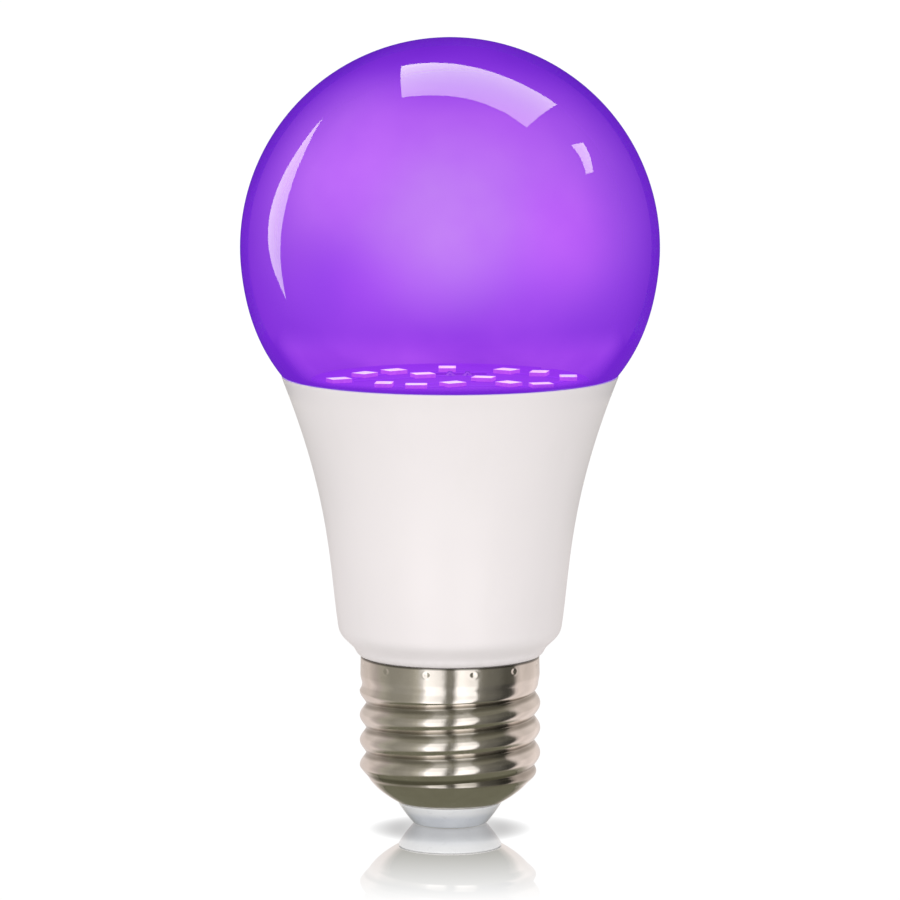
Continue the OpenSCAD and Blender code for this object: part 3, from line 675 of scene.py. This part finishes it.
def tent_material():
    """Light and dark boards round the cap, seen only in its metal."""
    s = Shader("tent")
    x, y, z = s.xyz()
    az = s.math("ARCTAN2", x, s.math("MULTIPLY", y, -1.0))
    u = s.span(az, -math.pi, math.pi, 0, 1)
    warm, cool, olive = (1.0, 0.90, 0.86), (1.0, 0.985, 0.97), (1.0, 0.97, 0.83)
    stops = [(-180, .62, warm), (-150, .58, warm), (-128, .60, warm), (-112, .38, warm), (-98, .32, olive), (-82, .22, olive),
             (-66, .24, olive), (-52, .28, olive), (-43, .40, olive), (-36, .62, cool), (-32, 1.2, cool), (-20, 1.06, cool),
             (-11, .95, cool), (-8, .70, cool), (-5, .16, olive), (4, .14, olive), (7, .60, cool), (9, 1.1, cool), (16, 1.25, cool),
             (27, 1.0, cool), (34, 1.0, cool), (37.5, .16, olive), (51, .11, olive), (63, .09, olive), (77, .04, olive),
             (90, .045, olive), (97, .50, warm), (104, .66, warm), (118, .58, warm), (143, .70, warm), (160, .60, warm), (180, .62, warm)]

    def on_tent(a):
        """Where a ray mirrored towards azimuth a by the cap's side meets the tent."""
        phi, psi = math.radians(a / 2), math.radians(a)
        b = 13 * math.cos(psi - phi)
        t = -b + math.sqrt(b * b + 34 * 34 - 169)
        return math.degrees(math.atan2(13 * math.sin(phi) + t * math.sin(psi), 13 * math.cos(phi) + t * math.cos(psi)))

    stops = [((on_tent(a) + 180) / 360, tuple(v * c for c in tint)) for a, v, tint in stops if abs(a) < 170]
    stops = [(0, stops[0][1])] + stops[:] + [(1, stops[-1][1])]
    col = s.ramp(u, stops)
    level = s.span(z, -0.014, -0.004, 0.10, 1.0, True)
    top = s.span(z, 0.034, 0.042, 1.0, 0.34, True)
    collar = s.span(z, 0.0150, 0.0200, 1.0, 0.80, True)
    col = s.mix(s.math("MULTIPLY", s.math("MULTIPLY", level, top), collar), (0.17, 0.165, 0.125, 1), col)
    glow = s.n("Emission", {"Color": col, "Strength": 1.30}).outputs[0]
    # only rays that start inside see it
    path = s.n("LightPath")
    away = s.math("MAXIMUM", s.n("NewGeometry").outputs["Backfacing"],
                  path.outputs["Is Singular Ray"])
    m = s.done(s.blend(away, glow, s.n("BsdfTransparent").outputs[0]))
    m.cycles.emission_sampling = "NONE"
    return m


n, tv, tf = 96, [], []
for z in (-0.016, 0.061):
    tv += [(0.034 * math.cos(2 * math.pi * j / n), 0.034 * math.sin(2 * math.pi * j / n), z) for j in range(n)]
for j in range(n):
    k = (j + 1) % n
    tf.append((j, n + j, n + k, k))
tent = make("tent", tv, tf, [tent_material()], smooth=False, body=None)
show_only(tent, "glossy")


def card_material():
    s = Shader("card")
    path = s.n("LightPath")
    away = path.outputs["Is Singular Ray"]
    glow = s.n("Emission", {"Color": (0.165, 0.165, 0.115, 1), "Strength": 1.0}).outputs[0]
    m = s.done(s.blend(away, glow, s.n("BsdfTransparent").outputs[0]))
    m.cycles.emission_sampling = "NONE"
    return m


cv = [(0, 0, -0.0165)] + [(0.034 * math.cos(2 * math.pi * j / n), 0.034 * math.sin(2 * math.pi * j / n), -0.0165) for j in range(n)]
card = make("card", cv, [(0, 1 + j, 1 + (j + 1) % n) for j in range(n)], [card_material()], smooth=False, body=None)
show_only(card, "glossy")

# a dark flag between the tent and the dome, so that the dome's gloss doesn't mirror the tent
fv = [(rr * math.cos(2 * math.pi * j / n), rr * math.sin(2 * math.pi * j / n), 0.0615) for rr in (0.0246, 0.046) for j in range(n)]
ff = [(j, n + j, n + (j + 1) % n, (j + 1) % n) for j in range(n)]
s = Shader("flag")
dim = s.blend(s.n("NewGeometry").outputs["Backfacing"], s.n("Emission", {"Color": (0.012, 0.012, 0.014, 1)}).outputs[0],
              s.n("Emission", {"Color": (0.17, 0.165, 0.125, 1)}).outputs[0])
flag_mat = s.done(s.blend(s.n("LightPath").outputs["Is Singular Ray"], dim, s.n("BsdfTransparent").outputs[0]))
flag_mat.cycles.emission_sampling = "NONE"
flag = make("flag", fv, ff, [flag_mat], smooth=False, body=None)
show_only(flag, "glossy")

key_data = bpy.data.lights.new("key", "AREA")
key_data.shape, key_data.size, key_data.size_y, key_data.energy = "RECTANGLE", 1.2, 1.0, 10.5
key_data.color = (1.0, 0.985, 0.97)
key = bpy.data.objects.new("key", key_data)
bpy.context.scene.collection.objects.link(key)
key.location = (-0.15, -1.64, 0.50)
key.rotation_mode = "QUATERNION"
key.rotation_quaternion = (Vector((0, 0, 0.05)) - key.location).to_track_quat("-Z", "Y")
key.visible_glossy = False
key.visible_camera = False

w = Shader("studio", world=True)
bpy.context.scene.world = w.m
path = w.n("LightPath")
d = w.n("SeparateXYZ", {0: w.n("TexCoord").outputs["Generated"]}).outputs
# the polished floor mirrors the white room; the bulb's own gloss sees dark flags and the softboxes
gloss = w.mix(path.outputs["Is Singular Ray"], (0.012, 0.012, 0.014, 1), (1.0, 1.0, 1.0, 1))
ambient = w.mix(w.span(d[2], -1, 1, 0, 1), (0.66, 0.66, 0.665, 1), (0.69, 0.69, 0.695, 1))
sky = w.mix(path.outputs["Is Glossy Ray"], ambient, gloss)
sky = w.mix(path.outputs["Is Camera Ray"], sky, (1.0, 1.0, 1.0, 1))
w.done(w.n("Background", {"Color": sky, "Strength": 1.0}).outputs[0])
